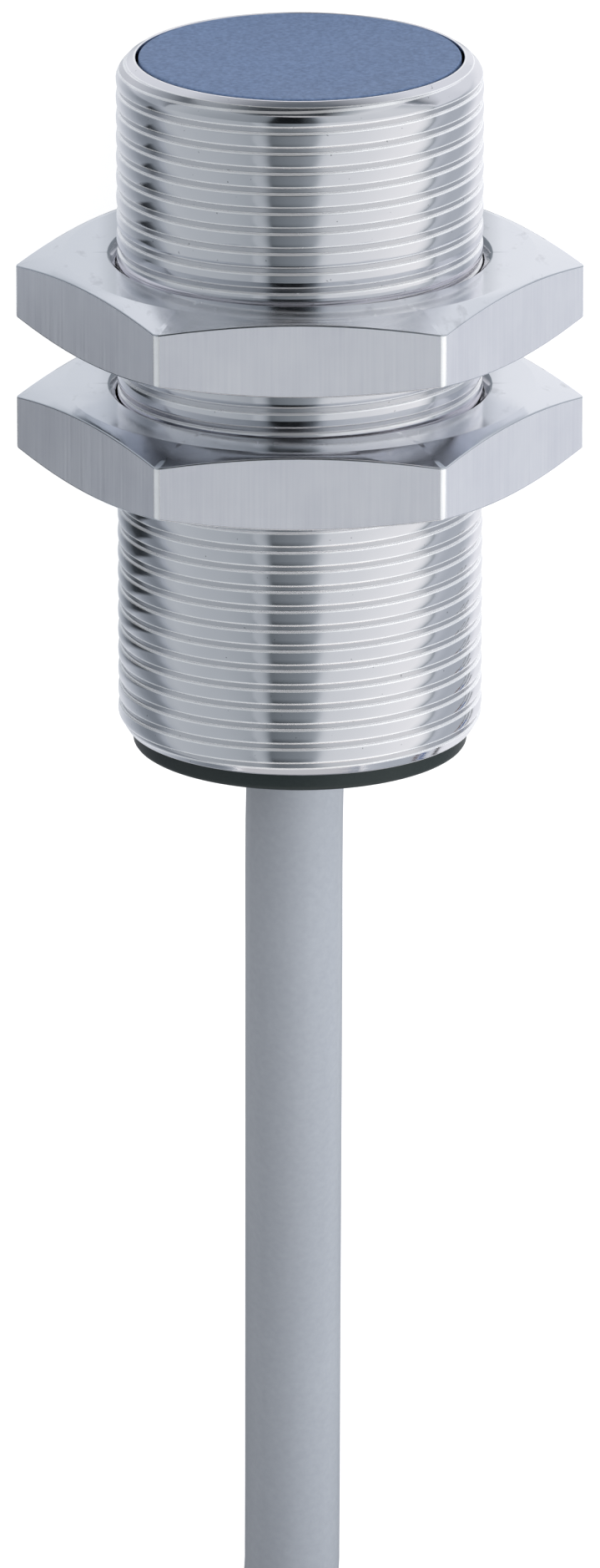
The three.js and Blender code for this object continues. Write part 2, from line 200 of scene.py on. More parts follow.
# Far behind the sensor, the tent's levels below 1 / TENT_DEEPENING are darkened
TENT_DEEPENING = 2.2
# Where along Y the tent's and the ground cards' levels change
TENT_Y = (-0.6, -0.06, -0.03, 0.18, 0.36, 0.5, 0.62, 0.9)
GROUND_Y = (-0.5, -0.1, -0.045, -0.021, -0.018, -0.001, 0.002, 0.016, 0.019, 0.9)
# Round the axis, in degrees from straight up and positive towards +X: the level before the sensing face,
# behind it, and far behind it
TENT_LEVELS = [
    (-90, 0.6, 0.4, 1.1), (-88, 0.6, 0.62, 1.1), (-84, 0.65, 0.82, 1.2), (-78, 0.75, 0.93, 1.4),
    (-62, 0.75, 0.89, 1.6), (-38, 0.68, 0.79, 1.6), (-18, 0.55, 0.72, 1.6), (-14, 0.4, 0.66, 1.6),
    (-9, 0.1, 0.37, 1.6), (0, 0.01, 0.26, 1.4), (14, 0.01, 0.19, 1.3), (18, 0.02, 0.16, 1.3),
    (21, 0.2, 0.38, 1.2), (24, 0.25, 0.48, 1.2), (28, 0.28, 0.5, 1.1), (30, 0.29, 0.41, 1.1),
    (38, 0.33, 0.445, 1.0), (48, 0.36, 0.48, 0.9), (84, 0.5, 0.54, 0.6), (90, 0.5, 0.5, 0.4),
]
# On the ground beside it, in millimetres from the axis: the level before the sensing face, behind it, and
# beside the nuts
LEFT_GROUND_LEVELS = [
    (0, 0.9, 0.2, 0.2), (7, 0.9, 0.25, 0.25), (10, 0.85, 0.74, 0.7), (14, 0.8, 0.74, 0.5),
    (20, 0.75, 0.56, 0.22), (27, 0.65, 0.42, 0.05), (35, 0.5, 0.31, 0.03), (50, 0.42, 0.25, 0.06),
    (75, 0.4, 0.25, 0.25), (160, 0.45, 0.42, 0.42), (430, 0.5, 0.5, 0.5),
]
RIGHT_GROUND_LEVELS = [
    (0, 0.9, 0.2, 0.2), (7, 0.9, 0.25, 0.25), (10, 0.85, 0.88, 0.88), (13, 0.8, 0.9, 0.9),
    (18, 0.8, 0.9, 0.9), (25, 0.8, 0.64, 0.64), (32, 0.75, 0.5, 0.5), (60, 0.75, 0.49, 0.49),
    (130, 0.75, 0.56, 0.56), (300, 0.75, 0.54, 0.54), (430, 0.75, 0.4, 0.4),
]
# On the upright card before the sensing face, in metres across it
FRONT_LEVELS = [
    (-0.5, 0.8), (-0.3, 0.75), (-0.2, 0.45), (-0.1, 0.05), (0.15, 0.04), (0.21, 0.15), (0.32, 0.42),
    (0.5, 0.5),
]
FRONT_CARD_Y = -0.5
FRONT_CARD_Z = (0.001, 0.05, 0.3)

# Lights: place, target, size in metres and power in watts
LIGHTS = {
    "key_light": ((-0.6, 0.05, 0.3), (0, 0.03, 0.01), (0.35, 0.9), 5.0),
    "top_light": ((-0.1, 0.1, 0.8), (0, 0.03, 0.01), (0.8, 0.9), 2.0),
}
SKY_COLOUR = (0.97, 0.975, 1.0, 1)
SKY_STRENGTH = 0.6
FLOOR_GREY = 0.4
FLOOR_GLOW = 0.8
FLOOR_HALF = 30


# Camera


def make_camera():
    """The camera looks down on the lying sensor, so that the sensing face is at the picture's top."""
    data = bpy.data.cameras.new("camera")
    data.sensor_width = SENSOR_MM
    data.lens = SENSOR_MM * VIEW_DISTANCE / (VIEW_HEIGHT_MM * MM)
    data.clip_start = 0.01
    data.clip_end = 20
    camera = bpy.data.objects.new("camera", data)
    bpy.context.scene.collection.objects.link(camera)
    aim = Vector((0, (FACE_Y + VIEW_AIM_DEPTH) * MM, AXIS_Z * MM))
    back = Vector((0, -math.sin(VIEW_TILT), math.cos(VIEW_TILT)))
    camera.location = aim + back * VIEW_DISTANCE
    picture_up = Vector((0, -math.cos(VIEW_TILT), -math.sin(VIEW_TILT)))
    picture_right = picture_up.cross(back)
    camera.rotation_mode = "QUATERNION"
    turn = np.array([picture_right, picture_up, back]).T
    camera.rotation_quaternion = Matrix(turn.tolist()).to_quaternion()
    bpy.context.scene.camera = camera


# Material helpers


class Nodes:
    """A material's node tree, with short calls for the nodes used here."""

    def __init__(self, name):
        self.material = bpy.data.materials.new(name)
        self.material.use_nodes = True
        self.tree = self.material.node_tree
        self.shader = self.tree.nodes["Principled BSDF"]

    def add(self, kind, inputs=None, **settings):
        node = self.tree.nodes.new("ShaderNode" + kind)
        for key, value in settings.items():
            setattr(node, key, value)
        for key, value in (inputs or {}).items():
            if isinstance(value, bpy.types.NodeSocket):
                self.tree.links.new(value, node.inputs[key])
            else:
                node.inputs[key].default_value = value
        return node

    def place(self):
        return self.add("TexCoord").outputs["Object"]

    def scaled(self, scale, vector=None):
        return self.add("Mapping", {"Vector": vector or self.place(), "Scale": scale}).outputs["Vector"]

    def noise(self, scale, detail=3.0, vector=None, roughness=0.55):
        inputs = {"Vector": vector or self.place(), "Scale": scale, "Detail": detail, "Roughness": roughness}
        return self.add("TexNoise", inputs).outputs["Fac"]

    def math(self, operation, a, b=0.0, c=0.0):
        return self.add("Math", {0: a, 1: b, 2: c}, operation=operation).outputs["Value"]

    def remap(self, value, low, high, to_low, to_high):
        inputs = {"Value": value, "From Min": low, "From Max": high, "To Min": to_low, "To Max": to_high}
        return self.add("MapRange", inputs).outputs["Result"]

    def mix(self, factor, a, b):
        node = self.add("Mix", data_type="RGBA")
        for key, value in ((0, factor), (6, a), (7, b)):
            if isinstance(value, bpy.types.NodeSocket):
                self.tree.links.new(value, node.inputs[key])
            else:
                node.inputs[key].default_value = value
        return node.outputs[2]

    def bump(self, height, strength, distance, normal=None):
        inputs = {"Height": height, "Strength": strength, "Distance": distance}
        if normal is not None:
            inputs["Normal"] = normal
        return self.add("Bump", inputs).outputs["Normal"]

    def set(self, **values):
        for key, value in values.items():
            socket = self.shader.inputs[key.replace("_", " ")]
            if isinstance(value, bpy.types.NodeSocket):
                self.tree.links.new(value, socket)
            else:
                socket.default_value = value
        return self.material


def rgb(red, green, blue):
    return (red, green, blue, 1.0)


# Materials


def polished_nickel(name="nickel_polished", roughness=0.08, shade=1.0):
    """Bright nickel plate: a faint cloudiness, fine turning lines round the axis, and a few dark pits."""
    # shade below 1 darkens the whole tint: painted shade where it is used for the groove floors
    dim = rgb(0.77 * shade, 0.765 * shade, 0.80 * shade)
    bright = rgb(0.87 * shade, 0.86 * shade, 0.885 * shade)
    n = Nodes(name)
    clouds = n.noise(260)
    lines = n.noise(1.0, 2.0, n.scaled((150, 9000, 150)))
    pits = n.remap(n.noise(4200, 1.0), 0.76, 0.8, 0.0, 1.0)
    tint = n.mix(clouds, dim, bright)
    colour = n.mix(n.math("MULTIPLY", pits, 0.6), tint, rgb(0.16, 0.17, 0.18))
    gloss = n.remap(clouds, 0.3, 0.7, roughness * 0.8, roughness * 1.3)
    normal = n.bump(lines, 0.09, 0.00002)
    normal = n.bump(pits, -0.4, 0.00003, normal)
    return n.set(Base_Color=colour, Metallic=1.0, Roughness=gloss, Normal=normal)


def highlight_nickel():
    """Painted highlight: lighter, less metallic nickel that draws the thread's and rim's edges as a soft
    bright line.
    """
    n = Nodes("nickel_painted_highlight")
    highlight_streaks = n.noise(1800, 4.0)
    colour = n.mix(n.remap(highlight_streaks, 0.35, 0.65, 0.0, 1.0), rgb(0.94, 0.94, 0.955), rgb(0.99, 0.99, 0.995))
    return n.set(Base_Color=colour, Metallic=0.73, Roughness=n.remap(highlight_streaks, 0.3, 0.7, 0.28, 0.18))


def ground_nickel():
    """The nuts' flats: nickel over an extruded hexagon. Grain along the axis spreads reflections round it."""
    n = Nodes("nickel_ground")
    grain = n.noise(1.0, 3.0, n.scaled((7000, 160, 7000)))
    clouds = n.noise(300)
    tone = n.math("ADD", n.math("MULTIPLY", clouds, 0.5), n.math("MULTIPLY", grain, 0.5))
    colour = n.mix(n.remap(tone, 0.3, 0.7, 0.0, 1.0), rgb(0.86, 0.86, 0.92), rgb(0.96, 0.96, 1.0))
    gloss = n.remap(grain, 0.3, 0.7, 0.44, 0.54)
    around = n.add("Tangent", direction_type="RADIAL", axis="Y").outputs["Tangent"]
    return n.set(Base_Color=colour, Metallic=0.9, Roughness=gloss, Anisotropic=0.5, Tangent=around,
                 Normal=n.bump(grain, 0.1, 0.00002))


def turned_nickel():
    """The nuts' end faces: bright, with rings left by the lathe and a few handling marks."""
    n = Nodes("nickel_turned")
    offset = n.add("VectorMath", {0: n.place(), 1: (0, 0, AXIS_Z * MM)}, operation="SUBTRACT").outputs[0]
    flat = n.add("VectorMath", {0: offset, 1: (1, 0, 1)}, operation="MULTIPLY").outputs[0]
    radius = n.add("VectorMath", {0: flat}, operation="LENGTH").outputs["Value"]
    at_radius = n.add("CombineXYZ", {"X": radius}).outputs[0]
    rings = n.noise(9000, 2.0, at_radius)
    clouds = n.noise(420, 4.0)
    marks = n.remap(n.noise(700, 5.0, n.scaled((1.6, 0.3, 0.8))), 0.6, 0.72, 0.0, 1.0)
    colour = n.mix(n.math("MULTIPLY", marks, 0.35), rgb(0.81, 0.825, 0.86), rgb(0.42, 0.43, 0.46))
    gloss = n.remap(clouds, 0.3, 0.7, 0.08, 0.2)
    normal = n.bump(rings, 0.06, 0.00002)
    return n.set(Base_Color=colour, Metallic=1.0, Roughness=gloss, Normal=normal)


def moulded_plastic(name, dark, light, roughness, grain=5200, depth=0.00002, speckled=0.4):
    """A moulded plastic: fine grain, with a slow change of tone and gloss."""
    n = Nodes(name)
    speckle = n.noise(grain, 2.0)
    clouds = n.noise(120)
    tone = n.math("ADD", n.math("MULTIPLY", clouds, 1 - speckled), n.math("MULTIPLY", speckle, speckled))
    colour = n.mix(n.remap(tone, 0.3, 0.7, 0.0, 1.0), rgb(*dark), rgb(*light))
    gloss = n.remap(clouds, 0.3, 0.7, roughness - 0.05, roughness + 0.05)
    return n.set(Base_Color=colour, Roughness=gloss, Normal=n.bump(speckle, 0.25, depth))


def plain_metal(name, dark, light, roughness):
    """A metal of the sealed inner pieces, with a cloudy tone and fine scratches."""
    n = Nodes(name)
    clouds = n.noise(500)
    scratches = n.noise(1.0, 3.0, n.scaled((300, 6000, 300)))
    colour = n.mix(clouds, rgb(*dark), rgb(*light))
    gloss = n.remap(scratches, 0.3, 0.7, roughness - 0.06, roughness + 0.08)
    return n.set(Base_Color=colour, Metallic=1.0, Roughness=gloss, Normal=n.bump(scratches, 0.1, 0.00001))


def woven_strap():
    """Hook-and-loop fabric: a short dense pile of loops."""
    n = Nodes("strap_fabric")
    loops = n.add("TexVoronoi", {"Vector": n.place(), "Scale": 2600.0}).outputs["Distance"]
    fuzz = n.noise(5200, 3.0)
    height = n.math("ADD", loops, n.math("MULTIPLY", fuzz, 0.5))
    colour = n.mix(height, rgb(0.006, 0.006, 0.007), rgb(0.035, 0.035, 0.038))
    return n.set(Base_Color=colour, Roughness=0.92, Sheen_Weight=0.25, Normal=n.bump(height, 0.7, 0.0002))


def make_materials():
    return {
        "nickel": polished_nickel(),
        # Lighter nickel painted on edges and nut corners as a highlight
        "nickel_painted_highlight": highlight_nickel(),
        # Darker nickel on the groove floors: painted shade
        "nickel_groove_painted_shade": polished_nickel("nickel_groove_painted_shade", 0.18, 0.84),
        "nickel_ground": ground_nickel(),
        "nickel_turned": turned_nickel(),
        "blue_plastic": moulded_plastic(
            "blue_face", (0.086, 0.147, 0.285), (0.158, 0.247, 0.44), 0.6, speckled=0.85),
        "black_plastic": moulded_plastic("black_cap", (0.006, 0.011, 0.011), (0.012, 0.019, 0.019), 0.5),
        "grey_cable": moulded_plastic(
            "grey_pvc", (0.264, 0.285, 0.32), (0.298, 0.32, 0.356), 0.5, 3000, 0.00003, 0.6),
        "seal_rubber": moulded_plastic("seal_rubber", (0.008, 0.008, 0.008), (0.016, 0.016, 0.016), 0.7),
        "ferrite": moulded_plastic("ferrite", (0.02, 0.02, 0.024), (0.05, 0.05, 0.056), 0.6),
        "natural_plastic": moulded_plastic("natural_plastic", (0.6, 0.55, 0.42), (0.75, 0.7, 0.56), 0.45),
        "board": moulded_plastic("board", (0.012, 0.11, 0.04), (0.03, 0.2, 0.08), 0.35),
        "chip_black": moulded_plastic("chip_epoxy", (0.008, 0.008, 0.01), (0.018, 0.018, 0.02), 0.5),
        "capacitor_tan": moulded_plastic("capacitor", (0.36, 0.22, 0.08), (0.5, 0.32, 0.14), 0.4),
        "resin": moulded_plastic("resin", (0.03, 0.03, 0.022), (0.05, 0.05, 0.04), 0.3),
        "core_brown": moulded_plastic("core_brown", (0.10, 0.036, 0.016), (0.14, 0.055, 0.025), 0.38, 2500),
        "core_blue": moulded_plastic("core_blue", (0.014, 0.07, 0.25), (0.022, 0.10, 0.32), 0.38, 2500),
        "core_black": moulded_plastic("core_black", (0.006, 0.006, 0.006), (0.013, 0.013, 0.013), 0.38, 2500),
        "copper": plain_metal("copper", (0.6, 0.25, 0.12), (0.78, 0.36, 0.18), 0.3),
        "brass": plain_metal("brass", (0.62, 0.42, 0.16), (0.78, 0.56, 0.25), 0.3),
        "tin": plain_metal("tin", (0.5, 0.5, 0.49), (0.68, 0.68, 0.66), 0.3),
        "strap_black": woven_strap(),
    }


# Mesh helpers


def mesh_piece(name, points_mm, faces, materials, face_materials=None):
    """A smooth-shaded mesh, from points in millimetres, with doubled points and empty faces removed."""
    mesh = bpy.data.meshes.new(name)
    mesh.from_pydata((np.asarray(points_mm) * MM).tolist(), [], faces)
    for material in materials:
        mesh.materials.append(material)
    if face_materials is not None:
        mesh.polygons.foreach_set("material_index", face_materials)
    work = bmesh.new()
    work.from_mesh(mesh)
    bmesh.ops.remove_doubles(work, verts=work.verts, dist=1e-6)
    bmesh.ops.dissolve_degenerate(work, edges=work.edges, dist=1e-7)
    bmesh.ops.recalc_face_normals(work, faces=work.faces)
    for face in work.faces:
        face.smooth = True
    work.to_mesh(mesh)
    work.free()
    piece = bpy.data.objects.new(name, mesh)
    bpy.context.scene.collection.objects.link(piece)
    return piece


def keep_flats_flat(piece):
    """Shades narrow edge rounds smoothly and leaves the wide faces beside them flat."""
    modifier = piece.modifiers.new("weighted_normals", "WEIGHTED_NORMAL")
    modifier.keep_sharp = True
    modifier.weight = 90


def declare(piece, body, slot, *nodes):
    """Tells the frame which body a piece rides on and the CAD nodes it stands for. The slot is not used."""
    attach(piece, body)
    if nodes:
        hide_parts(*nodes)


def filleted(profile, steps=4):
    """A closed profile of (radius, y, rounding) corners as plain (radius, y) points, each corner an arc."""
    result = []
    count = len(profile)
    for i, (x, y, rounding) in enumerate(profile):
        here = np.array((x, y), float)
        if rounding == 0:
            result.append(tuple(here))
            continue
        before = np.array(profile[i - 1][:2], float) - here
        after = np.array(profile[(i + 1) % count][:2], float) - here
        before /= np.linalg.norm(before)
        after /= np.linalg.norm(after)
        half = math.acos(np.clip(before @ after, -1, 1)) / 2
        reach = rounding / math.tan(half)
        middle = here + (before + after) / np.linalg.norm(before + after) * rounding / math.sin(half)
        start, end = here + before * reach - middle, here + after * reach - middle
        sweep = math.pi - 2 * half
        turn = math.copysign(sweep, start[0] * end[1] - start[1] * end[0])
        for k in range(steps + 1):
            angle = turn * k / steps
            c, s = math.cos(angle), math.sin(angle)
            result.append((middle[0] + c * start[0] - s * start[1], middle[1] + s * start[0] + c * start[1]))
    return result


def grid_mesh(name, angles, rows, materials, row_materials=None, helix=None, column_swap=None):
    """A closed ring of columns round the axis.

    rows holds (radius, y) for each column and row, and the last row joins the first. Inside
    helix = (first, last, turn), the rows step on by one turn where the last column meets the first.
    column_swap = (columns, old, new) changes a finish within some columns.
    """
    columns, count = rows.shape[:2]
    radius, y = rows[..., 0], rows[..., 1]
    x = radius * np.sin(angles)[:, None]
    z = AXIS_Z + radius * np.cos(angles)[:, None]
    points = np.stack([x, y, z], -1).reshape(-1, 3)
    plain = np.arange(count)
    stepped = plain.copy()
    if helix:
        first, last, turn = helix
        inside = (plain >= first) & (plain <= last)
        stepped[inside] = np.minimum(plain[inside] + turn, last)
    faces = []
    materials_of = []
    for i in range(columns):
        other = (i + 1) % columns
        across = stepped if other == 0 else plain
        for k in range(count):
            after = (k + 1) % count
            faces.append((i * count + k, i * count + after, other * count + across[after],
                          other * count + across[k]))
            finish = 0 if row_materials is None else row_materials[k]
            if column_swap and i in column_swap[0] and finish == column_swap[1]:
                finish = column_swap[2]
            materials_of.append(finish)
    return mesh_piece(name, points, [tuple(int(v) for v in f) for f in faces], materials, materials_of)


def turned(name, profile, material, columns=96):
    """A turned piece about the sensor's axis, from (radius, y, rounding) corners."""
    section = np.array(filleted(profile))
    angles = np.linspace(0, 2 * math.pi, columns, endpoint=False)
    piece = grid_mesh(name, angles, np.tile(section, (columns, 1, 1)), [material])
    keep_flats_flat(piece)
    return piece


# Thread


def smooth_min(a, b, reach):
    """The smaller of two values, rounded off where they are within reach of each other."""
    blend = np.clip(0.5 + 0.5 * (b - a) / reach, 0, 1)
    return b * (1 - blend) + a * blend - reach * blend * (1 - blend)


def smooth_max(a, b, reach):
    """The larger of two values, rounded off where they are within reach of each other."""
    return -smooth_min(-a, -b, reach)


def thread_radius(turns):
    """The thread's radius at a distance along it in turns, with grooves at whole numbers."""
    from_groove = np.abs(turns - np.round(turns)) * PITCH
    crest = CREST - CREST_SAG * (1 - 2 * from_groove / PITCH) ** 2
    groove = ROOT + (CREST - ROOT) * np.clip((from_groove - GROOVE_HALF + FLANK_WIDTH) / FLANK_WIDTH, 0, 2)
    return smooth_min(crest, smooth_max(groove, ROOT, SHOULDER), SHOULDER)


def helix_rows(angles, start, end):
    """Rows that follow the thread between two places on Y.

    Returns y and the position along the thread for each column and row, and the number of rows in a turn.
    """
    turn = len(THREAD_SAMPLES)
    groove_y = FACE_Y + THREAD_START
    first = math.floor((start - groove_y) / PITCH) - 1
    turns = math.ceil((end - start) / PITCH) + 4
    along = np.concatenate([first + k + THREAD_SAMPLES for k in range(turns)])
    y = groove_y + (along[None, :] + angles[:, None] / (2 * math.pi)) * PITCH
    y = np.clip(y, start, end)
    position = (y - groove_y) / PITCH - angles[:, None] / (2 * math.pi)
    return y, position, turn


def thread_finish(start, end):
    """The finish between two distances from the groove: 0 on the crest, 1 on its edge, 2 in the groove."""
    # 1 is the painted-highlight nickel on the edge, 2 the darker painted-shade nickel on the groove floor
    if any(HIGHLIGHT_EDGE[0] < distance < HIGHLIGHT_EDGE[1] for distance in (start, end)):
        return 1
    return 2 if max(start, end) < GROOVE_FLOOR else 0


def thread_row_finishes(count):
    """The finish of each of the thread's rows."""
    from_groove = np.abs(THREAD_SAMPLES - np.round(THREAD_SAMPLES))
    one_turn = [thread_finish(a, b) for a, b in zip(from_groove, np.roll(from_groove, -1))]
    return [one_turn[k % len(one_turn)] for k in range(count)]


def make_sleeve(materials):
    """The threaded barrel: a polished rim and lead-in cone in front, a short cone behind, thread between."""
    angles = np.linspace(0, 2 * math.pi, BARREL_COLUMNS, endpoint=False)
    front, rear = SLEEVE_LOW[1], SLEEVE_HIGH[1]
    start, end = front + INNER_RIM[-1][1] + THREAD_GAPS[0], rear - THREAD_GAPS[1]
    y, position, turn = helix_rows(angles, start, end)
    depth = y - front
    front_cone = np.interp(depth, *np.array(LEAD_IN).T[::-1])
    rear_cone = REAR_RIM + (end - y) * REAR_SLOPE
    radius = smooth_min(thread_radius(position), front_cone, CONE_BLEND)
    radius = smooth_min(radius, rear_cone, CONE_BLEND)
    rim_in = [(r, front + d) for r, d in INNER_RIM]
    rim_out = [(REAR_RIM - off, rear - before) for off, before in REAR_EDGE] + [(BORE, rear)]
    rows = np.concatenate([
        np.tile(rim_in, (BARREL_COLUMNS, 1, 1)), np.stack([radius, y], -1),
        np.tile(rim_out, (BARREL_COLUMNS, 1, 1))], 1)
    # Some rim rows and the thread's edges take the painted-highlight nickel, the groove floors the
    # painted-shade nickel
    row_materials = [int(k in RIM_HIGHLIT) for k in range(len(rim_in))]
    row_materials += thread_row_finishes(y.shape[1]) + [0] * len(rim_out)
    helix = (len(rim_in), len(rim_in) + y.shape[1] - 1, turn)
    finishes = [materials["nickel"], materials["nickel_painted_highlight"], materials["nickel_groove_painted_shade"]]
    sleeve = grid_mesh("threaded_sleeve_fine", angles, rows, finishes, row_materials, helix)
    declare(sleeve, "sensor", "nickel", "threaded_sleeve")


# Nuts


def nut_angles():
    """Column angles: close together round each corner, and even between corners."""
    half_corner = math.atan2(NUT_CORNER_ROUND / 2, NUT_CORNER)
    angles = []
    for k in range(6):
        corner = math.radians(30 + 60 * k)
        angles += [corner + half_corner * t for t in (-1, -0.5, 0, 0.5, 1)]
        step = (math.radians(60) - 2 * half_corner) / (NUT_COLUMNS_A_FLAT + 1)
        angles += [corner + half_corner + step * (i + 1) for i in range(NUT_COLUMNS_A_FLAT)]
    return np.sort(np.mod(angles, 2 * math.pi))


def from_middle(angles):
    """How far each angle is from the middle of its flat. Flats are at 0, 60, ... degrees."""
    return np.mod(angles + math.pi / 6, math.pi / 3) - math.pi / 6


def hexagon_radius(angles):
    """The outline's radius, with flats at 0, 60, ... degrees and rounded corners between them."""
    from_corner = math.pi / 6 - np.abs(from_middle(angles))
    flat = ACROSS_FLATS / 2 / np.cos(from_middle(angles))
    centre = NUT_CORNER - NUT_CORNER_ROUND / math.cos(math.pi / 6)
    inside = np.maximum(NUT_CORNER_ROUND**2 - (centre * np.sin(from_corner)) ** 2, 0)
    tangent = math.atan2(NUT_CORNER_ROUND / 2, centre + NUT_CORNER_ROUND * math.cos(math.pi / 6))
    return np.where(from_corner < tangent + 1e-9, centre * np.cos(from_corner) + np.sqrt(inside), flat)


def corner_columns(angles):
    """The columns of faces that lie on the rounded corners."""
    middles = (angles + np.roll(angles, -1)) / 2
    flat = ACROSS_FLATS / 2 / np.cos(from_middle(middles))
    return set(np.where(hexagon_radius(middles) < flat - 1e-4)[0].tolist())


def nut_face(outline, face_y, inwards):
    """Rows from the countersink out to the flat: inwards is +1 on the front face and -1 on the rear one."""

    def at(radius, below=0.0):
        drop = np.maximum(radius - NUT_FLAT_RADIUS, 0) * NUT_SLOPE + below
        everywhere = np.ones_like(outline)
        return np.stack([radius * everywhere, (face_y + inwards * drop) * everywhere], -1)

    return [
        at(COUNTERSINK, 0.01), at(COUNTERSINK + 0.05), at(NUT_FLAT_RADIUS - 0.03),
        at(NUT_FLAT_RADIUS + 0.03), at((NUT_FLAT_RADIUS + outline) / 2), at(outline - NUT_EDGE),
        at(outline - NUT_EDGE * 0.3, NUT_EDGE * 0.3), at(outline, NUT_EDGE),
    ]


def make_nut(node, materials):
    """A lock nut with a threaded bore, countersinks, flat rings, shallow cones and finely rounded edges."""
    low, high = box_mm(node)
    front, rear = low[1], high[1]
    angles = nut_angles()
    outline = hexagon_radius(angles)
    y, position, turn = helix_rows(angles, front + BORE_INSET, rear - BORE_INSET)
    sink = COUNTERSINK - np.minimum(y - front, rear - y) * COUNTERSINK_SLOPE
    bore = np.maximum(thread_radius(position) + THREAD_CLEARANCE, sink)
    rear_rows = nut_face(outline, rear, -1)
    front_rows = nut_face(outline, front, 1)[::-1]
    rows = np.concatenate([
        np.stack([bore, y], -1), np.stack(rear_rows, 1), np.stack(front_rows, 1)], 1)
    bore_rows = y.shape[1]
    row_materials = [0] * (bore_rows - 1) + [1] * len(rear_rows) + [2] + [1] * len(front_rows)
    # The rounded corners of the flats take the painted-highlight nickel instead of the ground finish
    finishes = [materials[f"nickel{end}"] for end in ("", "_turned", "_ground", "_painted_highlight")]
    nut = grid_mesh(node + "_fine", angles, rows, finishes, row_materials, (0, bore_rows - 1, turn),
                    (corner_columns(angles), 2, 3))
    keep_flats_flat(nut)
    declare(nut, node, "nickel", node)


# Face cup, end cap and seal


def make_face(materials):
    """The blue cup whose floor is the sensing face."""
    front, rear = CUP_LOW[1], CUP_HIGH[1]
    cup = turned("sensing_face_cap_fine", [
        (0, front, 0), (FACE_RADIUS, front, 0.12), (FACE_RADIUS, rear, 0.1), (CUP_BORE, rear, 0.05),
        (CUP_BORE, front + CUP_FLOOR, 0.1), (0, front + CUP_FLOOR, 0)], materials["blue_plastic"], 128)
    declare(cup, "sensor", "blue_plastic", "sensing_face_cap")


def make_end_cap(materials):
    """The black end cap with its flange and recess, and the rubber seal round the cable."""
    front, rear = CAP_LOW[1], CAP_HIGH[1]
    flange_y = SLEEVE_HIGH[1] + CAP_GAP
    outer = (CAP_HIGH[0] - CAP_LOW[0]) / 2 - CAP_TRIM
    recess = rear - CAP_RECESS
    cap = turned("rear_end_cap_fine", [
        (CAP_SPIGOT, front, 0.1), (CAP_SPIGOT, flange_y, 0), (outer, flange_y, 0.05), (outer, rear, 0.28),
        (CAP_COLLAR[1], rear, 0.1), (CAP_COLLAR[0], recess, 0.05), (CAP_HOLE, recess, 0.05),
        (CAP_HOLE, front, 0)], materials["black_plastic"], 128)
    declare(cap, "sensor", "black_plastic", "rear_end_cap")
    seal_outer = (GROMMET_HIGH[0] - GROMMET_LOW[0]) / 2
    seal = turned("cable_grommet_fine", [
        (SEAL_BORE, GROMMET_LOW[1], 0), (seal_outer, GROMMET_LOW[1], 0),
        (seal_outer, GROMMET_HIGH[1], 0.3), (SEAL_BORE, GROMMET_HIGH[1], 0.15)], materials["seal_rubber"], 64)
    declare(seal, "sensor", "seal_rubber", "cable_grommet")


# Cable


def smooth_path(points, step):
    """Catmull-Rom through the points, sampled about every step millimetres."""
    p = np.array(points, float)
    p = np.vstack([2 * p[0] - p[1], p, 2 * p[-1] - p[-2]])
    result = [p[1]]
    for a, b, c, d in zip(p[:-3], p[1:-2], p[2:-1], p[3:]):
        count = max(1, round(np.linalg.norm(c - b) / step))
        for t in np.arange(1, count + 1) / count:
            result.append(0.5 * (2 * b + (c - a) * t + (2 * a - 5 * b + 4 * c - d) * t**2
                                 + (3 * b - a - 3 * c + d) * t**3))
    return np.array(result)


def layer_z(layer):
    """Height of the cable's middle in a layer of the hank, the lowest being 1."""
    return GROUND_Z + HANK_PITCH * (layer - 1)


def eased(t):
    """A share of the way from 0 to 1 that starts and stops gently."""
    return t * t * (3 - 2 * t)


def fold(near, radius, low, high, steps=26):
    """Half a turn at one end of the hank, from one side's run to the other's, from layer to layer."""
    y = HANK_NEAR if near else HANK_FAR
    side = -1 if near else 1
    t = np.arange(1, steps) / steps
    angle = math.pi * t
    x = HANK_X + side * radius * np.cos(angle)
    return np.stack([x, y + side * radius * np.sin(angle), low + (high - low) * eased(t)], -1)


def straight(right, start_radius, end_radius, z, seed, steps=22):
    """A run along the hank, pinched and lifted at the strap, from one column to another if they differ."""
    t = np.arange(0, steps + 1) / steps
    bump = (1 + np.cos(2 * math.pi * (t - 0.5))) / 2
    radius = start_radius + (end_radius - start_radius) * eased(t) - HANK_PINCH * bump
    stray = 0.12 * np.sin(2 * math.pi * t) * math.sin(2.4 * seed)
    y = HANK_NEAR + (HANK_FAR - HANK_NEAR) * (t if right else 1 - t)
    x = HANK_X + (radius + stray) * (1 if right else -1)
    return np.stack([x, y, z + HANK_LIFT * bump + stray * 0.5], -1)


def entry_bend():
    """From the straight stretch on the ground, sideways and round into the hank's outer right run."""
    start_x = RUN_ROUTE[-1][0]
    turn = math.acos(1 - (HANK_X + HANK_OUTER - start_x) / (ENTRY_BEND + HANK_OUTER))
    start_y = HANK_NEAR - (ENTRY_BEND + HANK_OUTER) * math.sin(turn)
    t = np.arange(0, 9) / 8 * turn
    out = np.stack([start_x + ENTRY_BEND * (1 - np.cos(t)), start_y + ENTRY_BEND * np.sin(t),
                    0 * t + GROUND_Z], -1)
    back = turn - np.arange(1, 9) / 9 * turn
    into = np.stack([HANK_X + HANK_OUTER * np.cos(back), HANK_NEAR - HANK_OUTER * np.sin(back),
                     0 * back + GROUND_Z], -1)
    return np.vstack([out, into])


